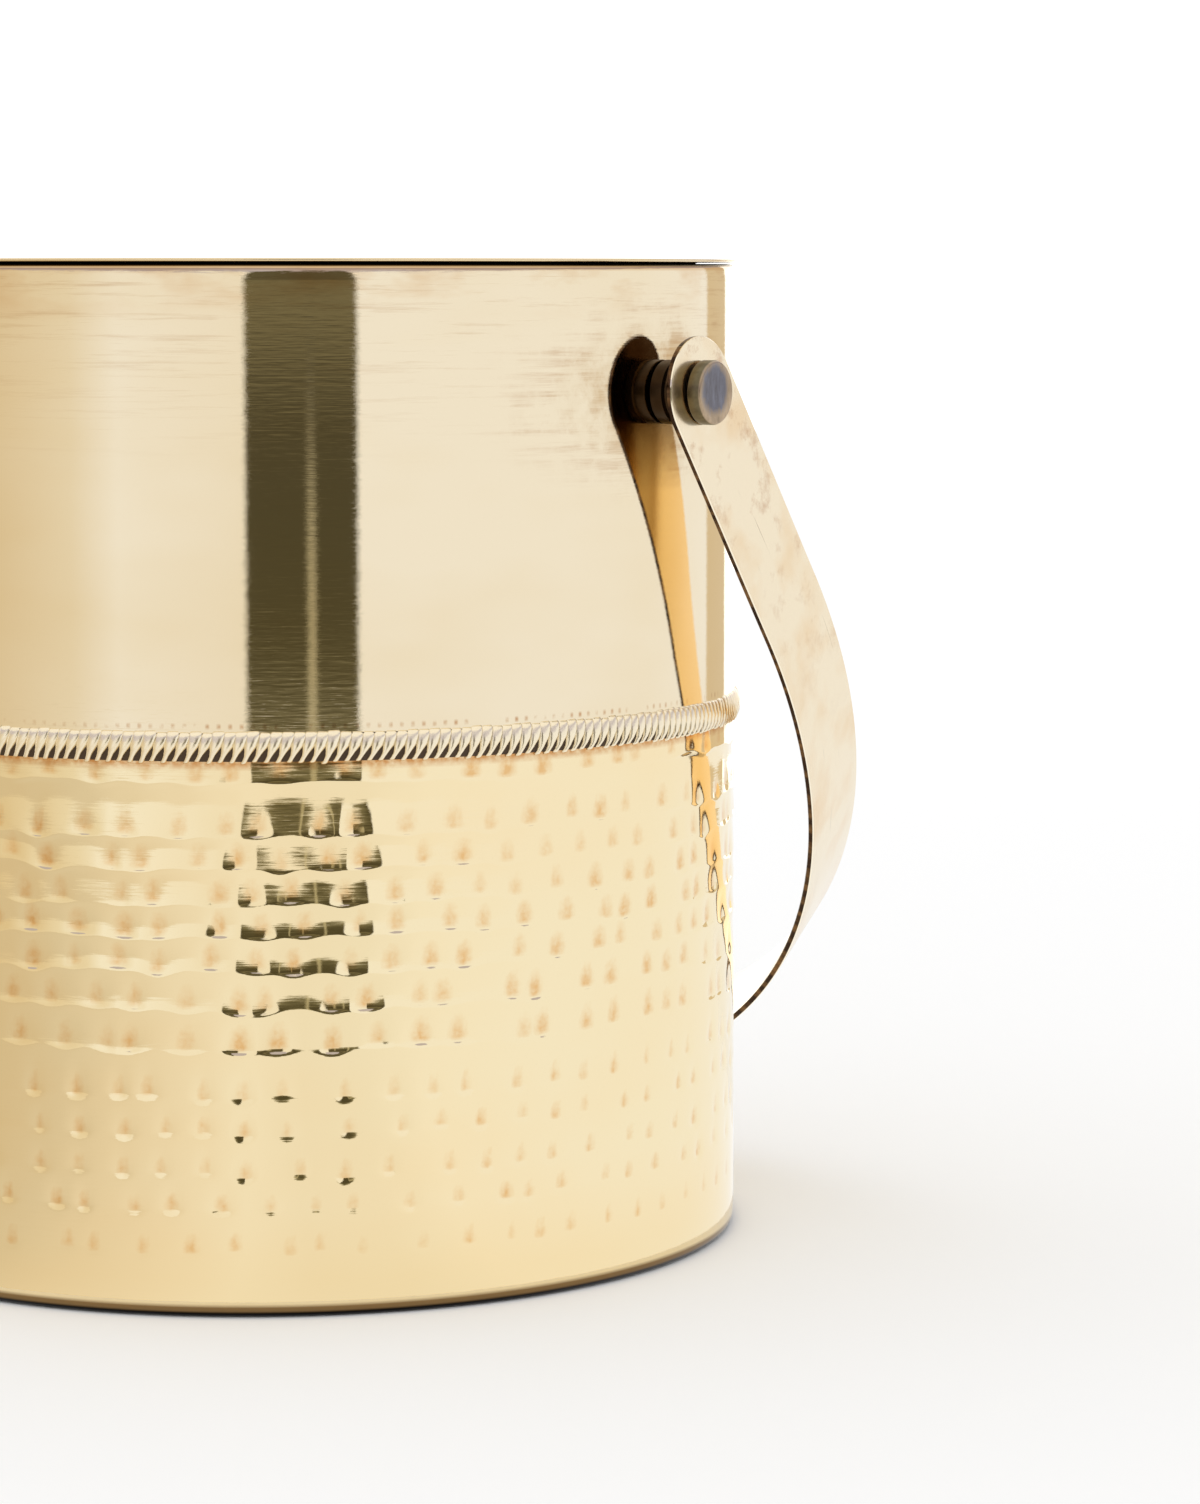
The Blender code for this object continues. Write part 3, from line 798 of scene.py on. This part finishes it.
# ---- The strap handle ----
# Rolled brass strip, sheared and rounded at the ends, drilled for the pins and bent to a bow.
# It keeps the long scratches of rolling, a bruised edge, and brown stains near the pins.
strap_width = 18.1 * MM
strap_thick = 1.0 * MM
arm_spread = math.radians(2.77)
bow_deepening = 1.16
wall_clearance = 0.5 * MM
table_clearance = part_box("bail_strap")[0].z
strap_middle = 85.6 * MM
pin_hole_radius = 2.78 * MM


def hanging_bow():
    """Depth of the bow below the pivots, and its tilt from straight down."""
    tilt = 0.0
    for _ in range(40):
        out = (wall_radius + wall_clearance + strap_width / 2 * math.cos(tilt)
               + strap_thick / 2 * math.sin(tilt))
        down = (pivot_height - table_clearance - strap_width / 2 * math.sin(tilt)
                - strap_thick / 2 * math.cos(tilt))
        tilt = math.atan2(out, down)
    return math.hypot(out, down), tilt


def strap_path(depth):
    """Half the strap from its right end to the foot of the bow: x, z, outward angle and half
    width, with the pivot at z = 0."""
    half = strap_width / 2
    reach = (math.sin(arm_spread) + bow_deepening) / math.cos(arm_spread)
    arm = ((depth - strap_middle * reach)
           / (math.cos(arm_spread) + math.sin(arm_spread) * reach))
    bow_half = (strap_middle + arm * math.sin(arm_spread)) / math.cos(arm_spread)
    bow_top = arm * math.cos(arm_spread) + bow_half * math.sin(arm_spread)
    path = []
    for turn in np.linspace(0, math.pi / 2, 17):
        along = -half * math.cos(turn)
        path.append((strap_middle + along * math.sin(arm_spread),
                     -along * math.cos(arm_spread), arm_spread, half * math.sin(turn)))
    for share in np.linspace(0, 1, 8)[1:-1]:
        path.append((strap_middle + arm * share * math.sin(arm_spread),
                     -arm * share * math.cos(arm_spread), arm_spread, half))
    for turn in np.linspace(-arm_spread, math.pi / 2, 61):
        outward = math.atan2(math.sin(turn), bow_deepening * math.cos(turn))
        path.append((bow_half * math.cos(turn),
                     -bow_top - bow_deepening * bow_half * math.sin(turn), -outward, half))
    return path


def strap_mesh():
    """The bent strip: sections with broken corners along the path, tilted to lean on the wall.
    Its two UV maps hold the place along and across it, and which side a face is on."""
    depth, tilt = hanging_bow()
    right = strap_path(depth)
    left = [(-x, z, math.pi - angle, half) for x, z, angle, half in reversed(right[:-1])]
    path = right + left
    bevel = 0.16 * MM
    thinnest = 0.02 * MM
    t = strap_thick / 2
    builder = bmesh.new()
    uv_layer = builder.loops.layers.uv.new("strip")
    kind_layer = builder.loops.layers.uv.new("side")
    kinds = (0.0,) * 4 + (0.5, 1.0, 1.0) + (2.0,) * 4 + (1.0, 1.0, 0.5)
    sections, places = [], []
    travelled = 0.0
    for n, (x, z, angle, half) in enumerate(path):
        if n:
            travelled += math.hypot(x - path[n - 1][0], z - path[n - 1][1])
        half = max(half, thinnest)
        edge = min(bevel, half / 2)
        ring = [(t, -half + edge), (t, -half / 2), (t, 0.0), (t, half / 2), (t, half - edge),
                (t - bevel, half), (-t + bevel, half)]
        ring += [(-out, -side) for out, side in ring]
        section, marks = [], []
        for out, side in ring:
            point = Vector((x + out * math.cos(angle), side, z + out * math.sin(angle)))
            section.append(builder.verts.new(point))
            marks.append((travelled, side))
        sections.append(section)
        places.append(marks)
    size = len(sections[0])
    for n in range(len(sections) - 1):
        for a in range(size):
            b = (a + 1) % size
            face = builder.faces.new((sections[n][a], sections[n][b],
                                      sections[n + 1][b], sections[n + 1][a]))
            for loop, mark in zip(face.loops, (places[n][a], places[n][b],
                                               places[n + 1][b], places[n + 1][a])):
                loop[uv_layer].uv = mark
                loop[kind_layer].uv = (kinds[a], 0.0)
    builder.faces.new(sections[0])
    builder.faces.new(sections[-1])
    bmesh.ops.rotate(builder, verts=builder.verts, cent=(0, 0, 0),
                     matrix=Matrix.Rotation(tilt, 3, "X"))
    bmesh.ops.translate(builder, verts=builder.verts, vec=(0, 0, pivot_height))
    bmesh.ops.recalc_face_normals(builder, faces=builder.faces)
    mesh = bpy.data.meshes.new("strap")
    builder.to_mesh(mesh)
    builder.free()
    return mesh


def strip_brass():
    """Rolled strip: rolling lines along it from its own UV map, long thin scratches, brown
    stains near the pins, dark sheared edges with a painted highlight on the rounded corner, and a
    yellower back that was never polished, with painted shade darkening it towards the pins, and
    paler towards the bottom of the bow."""
    material, tree, place = start_metal("rolled brass strip")
    strip_map = add(tree, "ShaderNodeUVMap", uv_map="strip")
    side_map = add(tree, "ShaderNodeUVMap", uv_map="side")
    side = add(tree, "ShaderNodeSeparateXYZ", {0: side_map}).outputs["X"]
    height = add(tree, "ShaderNodeSeparateXYZ", {0: place}).outputs["Z"]
    near_pin = add(tree, "ShaderNodeMapRange", {"Value": height,
                                                "From Min": pivot_height - 60 * MM,
                                                "From Max": pivot_height + 5 * MM})

    warm = mottling(tree, place, [11.11] * 3, 3.0)
    face = stain(tree, linear("F1E3C8"), "EACFA8", warm, 0.45, 0.7, 0.8)
    cloudy = mottling(tree, place, [6.667] * 3, 6.0, 0.7)
    face = stain(tree, face, "B07A4E", cloudy, 0.54, 0.72, 0.75, near_pin)
    scratches = mottling(tree, strip_map, (26.32, 0.4762, 1000), 2.0)
    face = stain(tree, face, "6B4A34", scratches, 0.70, 0.74, 0.5)
    # Painted shade: the back darkens towards the pins, where it faces the wall in shadow.
    back = stain(tree, linear("C8A668"), "402E1E", height, pivot_height - 17 * MM,
                 pivot_height - 3 * MM)
    back = stain(tree, back, "EEE0BE", height, 62 * MM, 30 * MM)
    nicked = mottling(tree, strip_map, [2.0] * 3, 4.0)
    edge = stain(tree, linear("3A2C26"), "8C6E50", nicked, 0.45, 0.75)
    # Painted highlight: the rounded corner between face and edge is made near white.
    colour = stain(tree, face, "FFF4DC", side, 0.2, 0.3)
    colour = stain(tree, colour, edge, side, 0.7, 0.8)
    colour = stain(tree, colour, back, side, 1.4, 1.6)
    rolled = mottling(tree, strip_map, (16.67, 0.3846, 1000), 4.0, 0.6)
    finish_metal(tree, colour, 0.16, rolled, 0.008 * MM)
    return material


def drilled(name, mesh, radius, length):
    """Cut the pin holes with a cylinder along the pivot axis."""
    block = in_scene(name + "_block", mesh)
    drill_builder = bmesh.new()
    bmesh.ops.create_cone(drill_builder, cap_ends=True, segments=64, radius1=radius,
                          radius2=radius, depth=length)
    drill_mesh = bpy.data.meshes.new(name + "_drill")
    drill_builder.to_mesh(drill_mesh)
    drill_builder.free()
    drill = in_scene(name + "_drill", drill_mesh)
    drill.rotation_euler = (0, math.pi / 2, 0)
    drill.location = (0, 0, pivot_height)
    cut = block.modifiers.new("holes", "BOOLEAN")
    cut.operation = "DIFFERENCE"
    cut.solver = "EXACT"
    cut.object = drill
    result = plain_mesh(block)
    bpy.data.objects.remove(drill)
    return result


strip = strip_brass()
strap = show("strap", drilled("strap", strap_mesh(), pin_hole_radius, 3 * wall_radius), strip,
             body="handle")
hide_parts("bail_strap")


# ---- The pivot pins and their spacers ----
# Turned from brass rod and darkened by age: a thick flat head with a bright worn edge, and a
# short sleeve that holds the strap off the wall.
pin_radius = 2.5 * MM
pin_head_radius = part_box("pivot_pin_right")[1].y
head_thickness = 2.45 * MM
broken_edge = 0.2 * MM
sleeve_clearance = 0.28 * MM
groove_deep = 0.5 * MM                        # turned round the middle of the sleeve
slate_spot = (0, -0.5 * MM, 0.6 * MM)         # off the pin's axis


def aged_brass(name, side_hex, face_hex, rim_hex):
    """Dark patina over turned brass, with the turning marks as fine rings about X. The middle
    of the end face is slate grey, and its rim is rubbed back to tan."""
    material, tree, place = start_metal(name)
    centred = add(tree, "ShaderNodeVectorMath", {0: place, 1: (0, 0, pivot_height)},
                  operation="SUBTRACT")
    flat = add(tree, "ShaderNodeVectorMath", {0: centred, 1: (0, 1, 1)}, operation="MULTIPLY")
    radius = add(tree, "ShaderNodeVectorMath", {0: flat}, operation="LENGTH").outputs["Value"]
    ring_place = add(tree, "ShaderNodeCombineXYZ", {"X": radius})
    rings = mottling(tree, ring_place, [0.3846] * 3, 3.0)
    blotch = mottling(tree, place, (3.333, 1.111, 4.0), 5.0, 0.7)
    spread = add(tree, "ShaderNodeMapRange", {"Value": blotch, "From Min": 0.3, "From Max": 0.7,
                                              "To Min": -0.14, "To Max": 0.14})
    share = add(tree, "ShaderNodeMath", {0: radius, 1: 1 / pin_head_radius},
                operation="MULTIPLY")
    off_centre = add(tree, "ShaderNodeVectorMath", {0: flat, 1: slate_spot},
                     operation="SUBTRACT")
    from_spot = add(tree, "ShaderNodeVectorMath", {0: off_centre}, operation="LENGTH")
    spot_share = add(tree, "ShaderNodeMath", {0: from_spot.outputs["Value"],
                                              1: 1 / pin_head_radius, 2: spread},
                     operation="MULTIPLY_ADD")
    face = stain(tree, linear(face_hex), rim_hex, spot_share, 0.62, 0.86)
    mixed = stain(tree, face, side_hex, share, 0.975, 0.99)
    mottled = stain(tree, mixed, "3C3128", blotch, 0.0, 1.0)
    finish_metal(tree, mottled, 0.3, rings, 0.02 * MM)
    return material


def on_pivot(mesh, side):
    """Lay a mesh modelled along +Z on the pivot axis, pointing out of one side."""
    mesh.transform(Matrix.Translation((0, 0, pivot_height))
                   @ Matrix.Rotation(side * math.pi / 2, 4, "Y"))
    return mesh


pin_brass = aged_brass("aged turned brass", "8C8264", "8A8C9A", "E2C8A8")
spacer_brass = aged_brass("blackened brass sleeve", "3E3022", "3A2E22", "4A3A28")
for label, side in (("right", 1), ("left", -1)):
    low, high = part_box("pivot_pin_" + label)
    inner_end, outer_end = sorted((abs(low.x), abs(high.x)))
    head_radius = high.y
    head_inner = outer_end - head_thickness
    outline = [(0.0, inner_end), (pin_radius - 0.4 * MM, inner_end),
               (pin_radius, inner_end + 0.4 * MM), (pin_radius, head_inner)]
    outline += corner(head_radius - broken_edge, head_inner + broken_edge, broken_edge, -90, 0)
    outline += [(head_radius, outer_end - 0.55 * MM)]
    outline += corner(head_radius - 0.5 * MM, outer_end - 0.4 * MM, 0.4 * MM, 20, 90)
    outline += [(head_radius - 1.0 * MM, outer_end - 0.06 * MM), (0.0, outer_end - 0.12 * MM)]
    pin = show("pin_" + label, on_pivot(turned("pin_" + label, outline, 96), side), pin_brass)
    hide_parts("pivot_pin_" + label)

    low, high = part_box("pivot_spacer_" + label)
    near, far = sorted((abs(low.x), abs(high.x)))
    hole = pin_radius + sleeve_clearance
    middle = (near + far) / 2
    inner = high.y - groove_deep
    outline = [(hole, near)]
    outline += corner(high.y - broken_edge, near + broken_edge, broken_edge, -90, 0)
    outline += [(high.y, middle - 0.5 * MM), (inner, middle - 0.2 * MM),
                (inner, middle + 0.2 * MM), (high.y, middle + 0.5 * MM)]
    outline += corner(high.y - broken_edge, far - broken_edge, broken_edge, 0, 90)
    outline += [(hole, far)]
    spacer = show("spacer_" + label, on_pivot(turned("spacer_" + label, outline, 96), side),
                  spacer_brass)
    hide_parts("pivot_spacer_" + label)

    for node_name in ("backing_washer_" + label, "pivot_nut_" + label):
        for material_slot in frame["nodes"][node_name].material_slots:
            material_slot.material = base_brass
